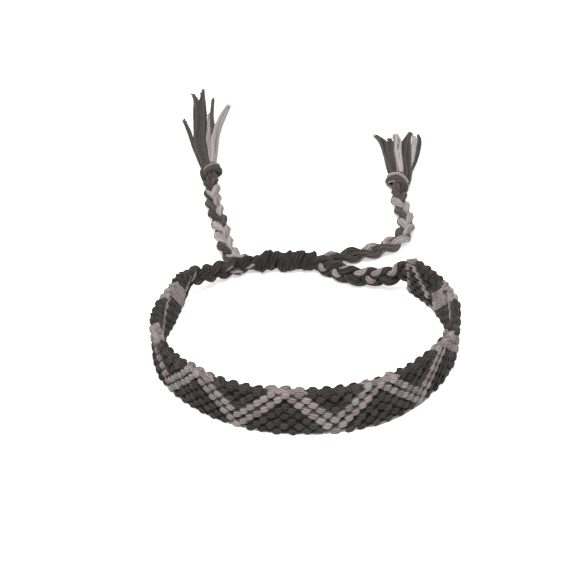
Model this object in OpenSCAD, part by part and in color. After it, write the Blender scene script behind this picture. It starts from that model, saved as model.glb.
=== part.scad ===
// Friendship bracelet: a knotted band with a zigzag, two braided ties, a sliding knot,
// two braided tails with an end knot and a fringe each. Units are millimetres.
// The bracelet stands on the lower edge of its band, closed to a loop. The front of the band
// looks to -Y, the sliding knot is at the back (+Y), and the tails lie on the surface behind it.

/* [Band] */
// height of the knotted band
band_height = 11; // [10:0.25:13]
// thickness of the knotted band
band_thick = 2.4; // [2:0.1:2.8]
// width of one column of knots along the band
column = 1.57; // [1.5:0.01:1.64]
// how far the knots at the edges stand out
scallop = 0.35; // [0:0.05:0.6]

/* [Braids] */
// half the distance between the outermost strands of a braid
braid_spread = 1.75; // [1.5:0.05:1.8]
// half the height of the strands' weave
braid_rise = 0.95; // [0.7:0.05:1]
// radius of one of the three strands
strand_radius = 0.85; // [0.7:0.05:0.9]
// distance between two bumps on one side of a tie
tie_bump = 4.6; // [3.5:0.1:6]
// distance between two bumps on one side of a tail
tail_bump = 6.2; // [4:0.1:9]

/* [Sliding knot] */
// length of the sliding knot
knot_length = 17; // [15:0.5:18]
// outer radius over the wraps
knot_radius = 2.65; // [2.5:0.05:2.8]
// number of wraps
knot_wraps = 5; // [4:1:7]

/* [End knots] */
// half the width of an end knot
end_knot_half = 3.3; // [2.8:0.1:3.6]
// half the height of an end knot
end_knot_rise = 2.6; // [2.4:0.1:3]

/* [Output] */
// which piece to build, or all of them

/* [Hidden] */

// the middle of the band, ties and sliding knot, moved to the origin
shift = [-0.75, -0.1, 0];

// plan of the loop: direction from its middle in degrees, radius at mid height,
// and how far the upper edge stands out beyond the lower one
loop_plan = [
  [-240, 39.0, -2.4], [-225, 38.2, -2.2], [-210, 35.7, -1.4], [-195, 34.4, -0.4], [-180, 35.5, 0.3],
  [-165, 36.7, 0.4], [-150, 37.0, 0.2], [-135, 36.9, 0.0], [-120, 37.0, -0.5], [-105, 36.9, -1.2],
  [-90, 36.6, -1.7], [-75, 36.7, -1.8], [-60, 36.8, -1.6], [-45, 36.5, -1.1], [-30, 36.5, -0.5],
  [-15, 37.0, 0.0], [0, 37.4, 0.1], [15, 37.2, -0.1], [30, 37.0, -0.8], [45, 36.7, -1.5], [60, 36.0, -2.0]];

// first and last column of knots, counted from the front, and their width before any change
col_a = -52;
col_b = 52;
pitch = 1.57;

// the sliding knot's axis
knot_x0 = -13.6;
knot_y = 36;
knot_z = knot_radius;
rod_radius = 0.92;     // a squeezed tie inside the sliding knot
rod_offset = 1.0;      // from the knot's axis
bore_radius = 2.05;
floor_gap = 0.04;      // between a tail and the surface it lies on
join_gap = 0.15;       // between two pieces that follow each other

// routes of the ties between the band and the sliding knot: x, y, z
tie_left_way = [[-26.9, 25.2, 4.6], [-24.5, 27.8, 3.8], [-22, 30.4, 3.1], [-19.4, 32.0, 2.75],
                [-16.6, 33.6, 2.7]];
tie_right_way = [[22.8, 25.8, 4.1], [20.1, 26.7, 3.4], [17.5, 27.4, 2.9], [14.8, 27.8, 2.7],
                 [12.2, 28.6, 2.65], [9.6, 30.4, 2.65], [6.6, 32.8, 2.65]];
// routes of the tails over the surface: x, y
tail_left_way = [[-15.9, 37.2], [-17.4, 38.2], [-18.9, 39.8], [-20.1, 42.0], [-20.9, 44.8],
                 [-21.5, 48.0], [-22.1, 52], [-22.9, 56.6], [-23.9, 61.4], [-25.1, 67.4],
                 [-25.9, 73.4], [-26.4, 79.4], [-26.6, 82.8]];
tail_right_way = [[5.6, 37.2], [7.8, 38.1], [11.3, 39.6], [16.4, 41.4], [21.0, 43.8],
                  [24.8, 47.0], [27.3, 50.8], [28.5, 55.0], [28.7, 59.4], [28.2, 65.2],
                  [27.6, 70.6], [27.3, 75.6]];
// routes of the end knots: x, y
end_left_way = [[-26.6, 82.9], [-26.6, 85.2], [-26.9, 87.6], [-27.5, 90.0], [-28.1, 91.8]];
end_right_way = [[27.3, 75.7], [27.3, 78.0], [27.4, 80.6], [27.8, 83.2], [28.1, 85.4]];
// locks of the fringes: radius at the knot, radius at the tip, then the route x, y, z
locks_left = [
  [1.3, 0.55, [[-28.8, 92.2, 2.3], [-30.4, 97, 2.1], [-31.6, 104, 1.9], [-32.6, 112, 1.7], [-33.2, 122, 1.5],
               [-33.8, 132, 1.2], [-35.8, 146.5, 0.7]]],
  [1.35, 0.5, [[-28.4, 92.2, 2.7], [-29.2, 97, 2.6], [-29.9, 104, 2.4], [-30.6, 112, 2.1], [-31.3, 121, 1.8],
               [-32.1, 133, 1.3], [-32.7, 150, 0.7]]],
  [0.8, 0.5, [[-29.0, 93.4, 1.7], [-30.9, 99, 1.3], [-32.8, 107, 1.0], [-34.6, 115, 0.9],
              [-36.0, 121.5, 0.8], [-38.0, 128, 0.7]]],
  [1.1, 0.5, [[-27.9, 92.2, 2.1], [-28.2, 104, 1.7], [-28.4, 113, 1.5], [-28.7, 122, 1.3],
              [-28.9, 132, 1.0], [-28.8, 142, 0.7]]],
  [1.1, 0.6, [[-27.5, 92.4, 2.4], [-26.7, 104, 1.6], [-26.8, 113, 1.4], [-26.7, 120, 1.3],
              [-25.6, 129, 1.1], [-23.6, 138, 0.8]]]];
locks_right = [
  [1.2, 0.5, [[27.3, 86.0, 2.0], [25.8, 91, 1.8], [25.3, 98, 1.5], [24.9, 106, 1.2],
              [23.6, 112, 0.9], [21.9, 116.5, 0.7]]],
  [1.1, 0.6, [[27.8, 86.0, 2.6], [26.8, 92, 2.4], [26.3, 98, 2.0], [26.1, 107, 1.3], [25.8, 112.5, 0.9]]],
  [1.3, 0.6, [[28.2, 86.0, 2.3], [28.4, 97, 1.8], [28.8, 106, 1.5], [28.8, 111.5, 1.3], [28.1, 116.5, 0.9]]],
  [1.3, 0.55, [[28.6, 86.0, 2.5], [29.8, 91, 2.1], [30.6, 97, 1.8], [31.5, 106, 1.5],
               [32.8, 112, 1.2], [33.5, 118, 0.8]]],
  [0.9, 0.5, [[28.9, 87.0, 1.8], [30.6, 91.5, 1.4], [32.4, 98, 1.2], [34.6, 105.5, 1.0],
              [35.6, 111.5, 0.9], [35.6, 117, 0.7]]]];

half_b = band_thick / 2;

// smooth line through points

function unit(v) = v / max(norm(v), 1e-9);
function spline(a, b, c, d, t) =
  0.5 * ((2 * b) + (c - a) * t + (2 * a - 5 * b + 4 * c - d) * t * t + (3 * b - a - 3 * c + d) * t * t * t);
function way(p, n = 8) = let (m = len(p)) [
  for (i = [0 : m - 2]) for (k = [0 : n - 1])
    spline(i == 0 ? 2 * p[0] - p[1] : p[i - 1], p[i], p[i + 1],
           i == m - 2 ? 2 * p[m - 1] - p[m - 2] : p[i + 2], k / n),
  p[m - 1]];
function run(p) = [for (i = 0, s = 0; i < len(p);
                        i = i + 1, s = s + (i < len(p) ? norm(p[i] - p[i - 1]) : 0)) s];
function column_of(s, p, j) = [for (i = [0 : len(p) - 1]) [s[i], p[i][j]]];
function at(tab, s) = [lookup(s, tab[0]), lookup(s, tab[1]), lookup(s, tab[2])];
function table(p) = let (s = run(p)) [column_of(s, p, 0), column_of(s, p, 1), column_of(s, p, 2)];
function smooth(x) = let (c = min(max(x, 0), 1)) c * c * (3 - 2 * c);

// closed skin over rings with the same number of points each

module skin(rings) {
  n = len(rings[0]);
  m = len(rings);
  points = [for (r = rings) for (p = r) p];
  walls = [for (i = [0 : m - 2]) for (k = [0 : n - 1])
    let (a = i * n + k, b = i * n + (k + 1) % n, c = a + n, d = b + n) each [[a, c, b], [b, c, d]]];
  first = [for (k = [1 : n - 2]) [0, k, k + 1]];
  last = [for (k = [1 : n - 2]) [(m - 1) * n, (m - 1) * n + k + 1, (m - 1) * n + k]];
  polyhedron(points = points, faces = concat(walls, first, last), convexity = 10);
}

// the ring at distance s along a route: outline [width, height] pairs turned by roll

function frame_at(tab, s, len_all) =
  let (e = 0.4, a = at(tab, max(s - e, 0)), b = at(tab, min(s + e, len_all)), t = unit(b - a),
       side = unit(cross([0, 0, 1], t)), up = cross(t, side)) [at(tab, s), side, up];
function ring(tab, s, len_all, outline, roll = 0) =
  let (f = frame_at(tab, s, len_all)) [for (q = outline)
    let (x = q[0] * cos(roll) - q[1] * sin(roll), y = q[0] * sin(roll) + q[1] * cos(roll))
    f[0] + f[1] * x + f[2] * y];

// outline of three strands that weave over each other: between what a ray from the middle hits
// and what a taut skin round the strands would reach

function ray_hit(c, r, d) = let (b = c * d, q = b * b - c * c + r * r) q < 0 ? 0 : b + sqrt(q);
function braid(turn, n = 12, grow = 1) = [for (k = [0 : n - 1])
  let (d = [cos(360 * k / n), sin(360 * k / n)],
       hits = [for (j = [0 : 2]) let (q = turn + 120 * j)
         ray_hit([braid_spread * sin(q), braid_rise * sin(2 * q)], strand_radius, d)],
       reach = [for (j = [0 : 2]) let (q = turn + 120 * j)
         [braid_spread * sin(q), braid_rise * sin(2 * q)] * d + strand_radius])
  d * max(0.35 * max(hits) + 0.62 * max(reach), 1) * grow];
function rod(r, n = 12) = [for (k = [0 : n - 1]) r * [cos(360 * k / n), sin(360 * k / n)]];
function mix(a, b, f) = [for (i = [0 : len(a) - 1]) a[i] * (1 - f) + b[i] * f];

// the loop of the band: place, outward direction and lean at direction a

function between(tab, a, j) =
  let (i = min(max(floor((a + 240) / 15), 1), len(tab) - 3), t = (a + 240) / 15 - i)
  spline(tab[i - 1][j], tab[i][j], tab[i + 1][j], tab[i + 2][j], t);
function loop_xy(a) = between(loop_plan, a, 1) * [cos(a), sin(a)];
loop_step = 1;
loop_dirs = [for (a = [-235 : loop_step : 55]) a];
loop_pts = [for (a = loop_dirs) loop_xy(a)];
loop_run = run(loop_pts);
loop_zero = lookup(-90, [for (i = [0 : len(loop_dirs) - 1]) [loop_dirs[i], loop_run[i]]]);
dir_of_run = [for (i = [0 : len(loop_dirs) - 1]) [loop_run[i] - loop_zero, loop_dirs[i]]];

// columns of knots sit closer on the left and wider on the right, as they were tightened
function run_of(u) = u * column / pitch - 4.1 + 0.00095 * u * u;
function dir_of(u) = lookup(run_of(u), dir_of_run);
function band_frame(u) =
  let (a = dir_of(u), p = loop_xy(a), q = loop_xy(a + 0.5) - loop_xy(a - 0.5), t = unit([q[0], q[1], 0]),
       out = [t[1], -t[0], 0]) [[p[0], p[1], 0], out, between(loop_plan, a, 2), t];

// the band narrows over its last rows of knots, much at the left end and little at the right
u_a = (col_a - 1.1) * pitch;
u_b = (col_b + 0.95) * pitch;
function end_keep(u) = min(0.55 + 0.45 * smooth((u - u_a) / 8), 0.8 + 0.2 * smooth((u_b - u) / 3));
function end_thick(u) = min(0.8 + 0.2 * smooth((u - u_a) / 4), 0.75 + 0.25 * smooth((u_b - u) / 1.6));

function band_ring(u) =
  let (f = band_frame(u), wave = cos(180 * u / pitch), keep = end_keep(u), mid = band_height / 2,
       lo = mid - keep * (mid - scallop * (1 + wave) / 2), hi = mid + keep * (mid - scallop * (1 - wave) / 2),
       h = half_b * end_thick(u), r = 0.9 * keep,
       outline = [[h, lo + r], [h, hi - r], [0.6 * h, hi - 0.12], [0, hi], [-0.6 * h, hi - 0.12], [-h, hi - r],
                  [-h, lo + r], [-0.6 * h, lo + 0.12], [0, lo], [0.6 * h, lo + 0.12]])
  [for (q = outline) f[0] + f[1] * (q[0] + f[2] * (q[1] / band_height - 0.5)) + [0, 0, q[1]]];

cut = pitch / 2;
band_cuts = concat([u_a], [for (k = [ceil((u_a + 0.2) / cut) : floor((u_b - 0.2) / cut)]) k * cut], [u_b]);

// ends of the band, where the ties begin
function band_end(u, gap) = let (f = band_frame(u)) f[0] + [0, 0, band_height / 2] + f[3] * gap;

// a tie goes through the sliding knot as a rod that winds half a turn round the other one

function in_knot(t, sign) = let (q = -90 + 180 * min(max(t, 0), 1))
  [knot_x0 + t * knot_length, knot_y + sign * rod_offset * sin(q), knot_z + sign * rod_offset * cos(q)];
tie_left_pts = concat(
  [band_end(u_a, -2 * join_gap), band_end(u_a, -1.6)], tie_left_way,
  [for (t = [-0.05 : 0.11 : 1.06]) in_knot(t, 1)]);
tie_right_pts = concat(
  [band_end(u_b, 2 * join_gap), band_end(u_b, 1.6)], tie_right_way,
  [for (t = [1.05 : -0.11 : -0.06]) in_knot(t, -1)]);

module tie(points, roll0, roll1, bump) {
  p = way(points, 6);
  tab = table(p);
  s = run(p);
  all = s[len(s) - 1];
  mouth = all - knot_length * 1.11;
  step = bump / 4;
  rings_out = floor((mouth + 0.6) / step);
  places = concat([for (i = [0 : rings_out]) i * (mouth + 0.6) / rings_out],
                  [for (i = [1 : 10]) mouth + 0.6 + i * (all - mouth - 0.6) / 10]);
  skin([for (q = places)
    let (free = smooth((mouth + 0.6 - q) / 5),
         start = smooth(q / 2),
         roll = roll0 + (roll1 - roll0) * smooth(q / (mouth * 0.6)))
    ring(tab, q, all, mix(rod(rod_radius), braid(120 * q / bump, 12, 0.85 + 0.15 * start), free), roll)]);
}

// a tail lies flat on the surface, and begins as thin as the tie inside the sliding knot

module tail(points, bump) {
  p = way(points, 6);
  tab = table(p);
  s = run(p);
  all = s[len(s) - 1];
  count = ceil(all / (bump / 4));
  skin([for (i = [0 : count])
    let (q = all * i / count, free = smooth(0.05 + q / 5))
    ring(tab, q, all, mix(rod(rod_radius + 0.05), braid(120 * q / bump), free), 0)]);
}
tail_z = braid_rise + strand_radius + floor_gap;
function lay(w) = [for (q = w) [q[0], q[1], tail_z]];
tail_left_pts = concat(
  [[knot_x0 - 0.06 * knot_length - 2 * join_gap, knot_y + rod_offset, knot_z]],
  [for (i = [0 : len(tail_left_way) - 1]) let (z = i < 3 ? [0.5, 0.2, 0.05][i] : 0)
    [tail_left_way[i][0], tail_left_way[i][1], tail_z + z]]);
tail_right_pts = concat(
  [[knot_x0 + 1.06 * knot_length + 2 * join_gap, knot_y + rod_offset, knot_z]],
  [for (i = [0 : len(tail_right_way) - 1]) let (z = i < 3 ? [0.5, 0.2, 0.05][i] : 0)
    [tail_right_way[i][0], tail_right_way[i][1], tail_z + z]]);

// an end knot: a thick turn of the braid round itself, fuller in the middle and on one side

module end_knot(points, lean) {
  p = way([for (q = points) [q[0], q[1], end_knot_rise + 0.05]], 6);
  tab = table(p);
  s = run(p);
  all = s[len(s) - 1];
  count = 16;
  skin([for (i = [0 : count])
    let (t = i / count, q = join_gap + (all - 2 * join_gap) * t,
         body = 0.62 + 0.38 * pow(sin(180 * min(max(t * 0.94 + 0.03, 0), 1)), 0.7),
         waist = 1 - 0.07 * pow(cos(360 * (t - 0.02)), 2),
         w = end_knot_half * body * waist, h = end_knot_rise * body * waist, o = lean * sin(180 * t) * 0.55)
    ring(tab, q, all, [for (k = [0 : 13]) let (a = 360 * k / 14)
      [o + w * (1 + 0.07 * cos(3 * a + 150 * t)) * cos(a), h * (1 - 0.03 * pow(cos(2 * a), 2)) * sin(a)]], 0)]);
}

// a fringe: locks of loose yarn that leave the knot side by side

module lock(r0, r1, points) {
  p = way(points, 6);
  tab = table(p);
  s = run(p);
  all = s[len(s) - 1];
  count = ceil(all / 5);
  skin([for (i = [0 : count])
    let (t = i / count, q = all * t, c = at(tab, q),
         r = (r0 + (r1 - r0) * t) * (t > 0.99 ? 0.75 : 1) * (0.8 + 0.2 * smooth(t * 8)))
    ring(tab, q, all, rod(min(r, c[2] - 0.03), 8), 22.5)]);
}
module fringe(locks) union() {
  for (k = locks) lock(k[0], k[1], k[2]);
}

module band() color([0.27, 0.25, 0.23]) translate(shift)
  skin([for (i = [len(band_cuts) - 1 : -1 : 0]) band_ring(band_cuts[i])]);
module tie_left() color([0.2, 0.18, 0.17]) translate(shift) tie(tie_left_pts, 90, 75, tie_bump);
module tie_right() color([0.24, 0.2, 0.18]) translate(shift) tie(tie_right_pts, 90, 115, tie_bump);
module sliding_knot() color([0.16, 0.13, 0.12]) translate(shift)
  translate([knot_x0, knot_y, knot_z]) rotate([0, 90, 0]) rotate_extrude($fn = 48)
    polygon(concat([[bore_radius, 0.1], [bore_radius, knot_length - 0.1]],
      [for (i = [knot_wraps * 6 : -1 : 0]) let (t = i / (knot_wraps * 6))
        [knot_radius - 0.34 * pow(abs(cos(180 * knot_wraps * t)), 2)
           - (i == 0 || i == knot_wraps * 6 ? 0.1 : 0), knot_length * t]]));
module tail_left() color([0.45, 0.4, 0.38]) translate(shift) tail(tail_left_pts, tail_bump);
module tail_right() color([0.5, 0.44, 0.42]) translate(shift) tail(tail_right_pts, tail_bump);
module end_knot_left() color([0.3, 0.26, 0.24]) translate(shift) end_knot(end_left_way, -1);
module end_knot_right() color([0.34, 0.3, 0.27]) translate(shift) end_knot(end_right_way, 1);
module fringe_left() color([0.62, 0.57, 0.56]) translate(shift) fringe(locks_left);
module fringe_right() color([0.58, 0.53, 0.52]) translate(shift) fringe(locks_right);

band();
tie_left();
tie_right();
sliding_knot();
tail_left();
tail_right();
end_knot_left();
end_knot_right();
fringe_left();
fringe_right();
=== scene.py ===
# %% [markdown]
# # A knotted friendship bracelet
# The real bracelet is made of two cotton yarns, a charcoal one and a pinkish grey one. Its parts are a
# knotted band with a zigzag, two braided ties, a sliding knot over both ties, and two braided tails
# with an end knot and a fringe each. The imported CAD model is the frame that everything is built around.

# %% The fixed frame
import math
import bpy
import numpy as np
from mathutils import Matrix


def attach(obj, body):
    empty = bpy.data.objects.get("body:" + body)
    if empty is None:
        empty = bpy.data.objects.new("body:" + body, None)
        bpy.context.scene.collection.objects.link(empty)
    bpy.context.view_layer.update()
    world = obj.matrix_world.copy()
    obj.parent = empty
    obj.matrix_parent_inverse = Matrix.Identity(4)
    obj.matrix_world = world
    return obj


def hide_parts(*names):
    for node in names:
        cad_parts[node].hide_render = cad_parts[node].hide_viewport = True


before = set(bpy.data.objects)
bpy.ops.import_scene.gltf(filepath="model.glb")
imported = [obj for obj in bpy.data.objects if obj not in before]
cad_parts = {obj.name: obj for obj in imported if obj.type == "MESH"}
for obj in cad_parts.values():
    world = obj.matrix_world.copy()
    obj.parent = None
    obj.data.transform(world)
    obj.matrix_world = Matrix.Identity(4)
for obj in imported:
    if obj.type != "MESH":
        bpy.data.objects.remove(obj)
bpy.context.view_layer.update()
print("nodes in the frame:", sorted(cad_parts))

# %% [markdown]
# ## Sizes that the whole script shares
# The CAD source draws the loop in millimetres around its own middle and then moves it by a small step.
# The same numbers are repeated here, and one helper turns them into Blender's metres.

# %% Shared sizes
MM = 0.001
STEP = np.array([-0.75, -0.1, 0.0])  # from the loop's middle to the origin, mm
LOWEST = 0.03  # no point of the yarn lies lower than this, mm
rng = np.random.default_rng(7)


def metres(points):
    return (np.asarray(points, float) + STEP) * MM


print("the loop's middle lies at", metres([0, 0, 0]), "m")

# %% [markdown]
# ## The camera
# The photograph looks down at the bracelet by about 33 degrees. The camera stands 40 cm away, with a long
# lens that keeps the perspective mild. A small shift puts the loop where the photo has it.

# %% Camera
LOOK_DOWN = math.radians(33.35)
DISTANCE = 400.0  # from the loop's middle, mm
SENSOR, LENS = 36.0, 98.82  # mm
SHIFT = (-0.0181, 0.0867)  # across and up, in parts of the picture's width
NEAREST = 0.01  # m
eye = metres([0, -DISTANCE * math.cos(LOOK_DOWN), DISTANCE * math.sin(LOOK_DOWN)])
bpy.ops.object.camera_add(location=eye, rotation=(math.pi / 2 - LOOK_DOWN, 0, 0))
camera = bpy.context.object
camera.name = "camera"
camera.data.sensor_width = SENSOR
camera.data.lens = LENS
camera.data.shift_x, camera.data.shift_y = SHIFT
camera.data.clip_start = NEAREST
bpy.context.scene.camera = camera
print("camera at", np.round(eye, 4))

# %% [markdown]
# ## Lines that the yarn follows
# Yarn is a long soft tube, so everything here starts from a smooth line. A line is a spline through a few
# points, cut into even steps. Two directions go with it: a level side and what is up from there, for a
# braid that lies flat, or a pair that is carried along without twisting, for a single yarn.


# %% Line helpers
def unit(v):
    return v / np.maximum(np.linalg.norm(v, axis=-1, keepdims=True), 1e-12)


def smooth(x):
    x = np.clip(x, 0.0, 1.0)
    return x * x * (3 - 2 * x)


def run_along(line):
    return np.concatenate([[0], np.cumsum(np.linalg.norm(np.diff(line, axis=0), axis=1))])


def spline(points, per=6):
    p = np.array(points, float)
    q = np.vstack([2 * p[0] - p[1], p, 2 * p[-1] - p[-2]])
    t = (np.arange(per) / per)[:, None]
    parts = [0.5 * (2 * b + (c - a) * t + (2 * a - 5 * b + 4 * c - d) * t**2
                    + (3 * b - a - 3 * c + d) * t**3)
             for a, b, c, d in zip(q, q[1:], q[2:], q[3:])]
    return np.vstack(parts + [p[-1:]])


def evenly(line, step):
    run = run_along(line)
    places = np.linspace(0, run[-1], max(int(round(run[-1] / step)), 2) + 1)
    return np.stack([np.interp(places, run, line[:, k]) for k in range(3)], axis=1), places


def level_sides(line):
    along = unit(np.gradient(line, axis=0))
    side = unit(np.cross([0.0, 0.0, 1.0], along))
    return side, np.cross(along, side)


def carried_sides(line):
    along = unit(np.gradient(line, axis=0))
    side = np.empty_like(line)
    first = np.cross([0.0, 0.0, 1.0], along[0])
    side[0] = unit(first if np.linalg.norm(first) > 0.1 else np.cross([0.0, 1.0, 0.0], along[0]))
    for i in range(1, len(line)):
        side[i] = unit(side[i - 1] - along[i] * (side[i - 1] @ along[i]))
    return side, np.cross(along, side)


bow = spline([(0, 0, 0), (5, 2, 0), (10, 0, 0)])
print("a bow over 10 mm is %.2f mm long" % run_along(bow)[-1])

# %% [markdown]
# ## The skin of one yarn
# Rings of points round the line make the yarn's skin. Each point also keeps where it lies on the yarn: how
# far along, and the cosine and sine of its angle round the spun yarn. The materials read that as "grain".
# A skin is a set of points, quads, triangles, grain and shade, and a number for its material.

# %% Yarn skin
DARK, LIGHT = 0, 1
TIP = 0.6  # how far a rounded end stands past its line, in radii
ANY_ANGLE, ANY_RUN = 6.0, 40.0  # the grain of each yarn starts at a random angle and run


def yarn_skin(line, radius, kind, sides=8, twist=0.9, flat=1.0):
    """The closed skin of one yarn: rings round the line, and a point at each end."""
    n = len(line)
    radius = np.broadcast_to(np.asarray(radius, float), (n,))
    side, up = carried_sides(line)
    run = run_along(line)
    angle = 2 * math.pi * np.arange(sides) / sides
    ca, sa = np.cos(angle)[None, :, None], np.sin(angle)[None, :, None]
    rings = line[:, None] + radius[:, None, None] * (ca * side[:, None] + sa * up[:, None] * flat)
    tips = np.stack([line[0] - unit(line[1] - line[0]) * radius[0] * TIP,
                     line[-1] + unit(line[-1] - line[-2]) * radius[-1] * TIP])
    points = np.vstack([rings.reshape(-1, 3), tips])
    spun = angle[None, :] + twist * run[:, None] + rng.uniform(0, ANY_ANGLE)
    far = np.repeat(run, sides) + rng.uniform(0, ANY_RUN)
    grain = np.stack([far, np.cos(spun).ravel(), np.sin(spun).ravel()], axis=1)
    grain = np.vstack([grain, grain[:1], grain[-1:]])
    i, k = np.meshgrid(np.arange(n - 1), np.arange(sides), indexing="ij")
    a, b = (i * sides + k).ravel(), (i * sides + (k + 1) % sides).ravel()
    quads = np.stack([a, b, b + sides, a + sides], axis=1)
    k = np.arange(sides)
    after, last_ring = (k + 1) % sides, (n - 1) * sides
    tris = np.vstack([np.stack([np.full(sides, n * sides), after, k], axis=1),
                      np.stack([np.full(sides, n * sides + 1), last_ring + k, last_ring + after], axis=1)])
    shade = np.full(len(points), rng.uniform(0, 1))
    return points, quads, tris, grain, shade, kind


# %% [markdown]
# ## One object from many skins
# Hundreds of yarns would be hundreds of objects, so the yarns of one part become one mesh. It has its
# place in its points, rides on the part's one body, and its CAD node is hidden.


# %% Mesh helper
def make_piece(name, skins, node, materials):
    base, points, loops, sizes, kinds, grains, shades = 0, [], [], [], [], [], []
    for p, quads, tris, grain, shade, kind in skins:
        points.append(p)
        grains.append(grain)
        shades.append(shade)
        for faces in (quads, tris):
            if len(faces):
                loops.append((faces + base).ravel())
                sizes.append(np.full(len(faces), faces.shape[1]))
                kinds.append(np.full(len(faces), kind))
        base += len(p)
    points, loops = metres(np.vstack(points)), np.concatenate(loops)
    points[:, 2] = np.maximum(points[:, 2], LOWEST * MM)
    sizes, kinds = np.concatenate(sizes), np.concatenate(kinds)
    mesh = bpy.data.meshes.new(name)
    mesh.vertices.add(len(points))
    mesh.vertices.foreach_set("co", points.astype(np.float32).ravel())
    mesh.loops.add(len(loops))
    mesh.loops.foreach_set("vertex_index", loops.astype(np.int32))
    mesh.polygons.add(len(sizes))
    mesh.polygons.foreach_set("loop_start", (np.cumsum(sizes) - sizes).astype(np.int32))
    mesh.polygons.foreach_set("material_index", kinds.astype(np.int32))
    mesh.polygons.foreach_set("use_smooth", np.ones(len(sizes), bool))
    mesh.update(calc_edges=True)
    grain = mesh.attributes.new("grain", "FLOAT_VECTOR", "POINT")
    grain.data.foreach_set("vector", np.vstack(grains).astype(np.float32).ravel())
    shade = mesh.attributes.new("shade", "FLOAT", "POINT")
    shade.data.foreach_set("value", np.concatenate(shades).astype(np.float32))
    for material in materials:
        mesh.materials.append(material)
    piece = bpy.data.objects.new(name, mesh)
    bpy.context.collection.objects.link(piece)
    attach(piece, "root")
    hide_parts(node)
    print(name, "points", len(points), "triangles", int((sizes - 2).sum()))
    return piece


# %% [markdown]
# ## What the yarn looks like
# Cotton yarn is matt, with a soft sheen at grazing angles. Close up it shows the plies it was spun from
# and, along them, fine fibres. One shared node group makes both from the "grain" of the skin and gives a
# colour, a roughness and a normal, and each material places it with its own values. In the grooves between
# the plies the colour is darkened towards the deep colour: painted shade. The "shade" of a yarn makes it a
# little lighter or darker than its neighbours, and "dim" darkens a stretch of a piece.

# %% The spun yarn group
RIDGE_ROUND = 0.6  # below 1 the plies are round, with narrow grooves
FIBRE_STRETCH, FIBRE_SCALE = (0.55, 3.2, 3.2), 2.2  # the fibres are drawn out along the yarn
CLOUD_SCALE, CLOUD_LIGHT = 260.0, 0.4  # soft patches over many yarns
RELIEF_DEPTH = 0.00022  # m
LIT_BASE, FIBRE_LIGHT = 0.2, 0.75
SHADE_MIDDLE, SHADE_LIGHT, DIM_LIGHT = 0.56, 0.65, 0.4
TINT_JUMP, TINT_FROM, TINT_MOST = 7.3, 0.35, 0.6  # which yarns lean to the second tint, and how far
ROUGH_GROOVE, RIDGE_GLOSS = 0.95, 0.2
# One input sets how far the colour is darkened in the grooves between the plies: painted shade.
GROUP_INPUTS = (("Lit Colour", "NodeSocketColor", (0.5, 0.5, 0.5, 1)),
                ("Deep Colour", "NodeSocketColor", (0.1, 0.1, 0.1, 1)),
                ("Second Tint", "NodeSocketColor", (0.3, 0.3, 0.3, 1)),
                ("Plies", "NodeSocketFloat", 3.0),
                ("Ply Depth", "NodeSocketFloat", 0.5),
                ("Painted Groove Shade", "NodeSocketFloat", 0.35),
                ("Fibre Depth", "NodeSocketFloat", 0.5),
                ("Relief", "NodeSocketFloat", 0.6))
GROUP_OUTPUTS = (("Colour", "NodeSocketColor"), ("Roughness", "NodeSocketFloat"),
                 ("Normal", "NodeSocketVector"))


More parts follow.
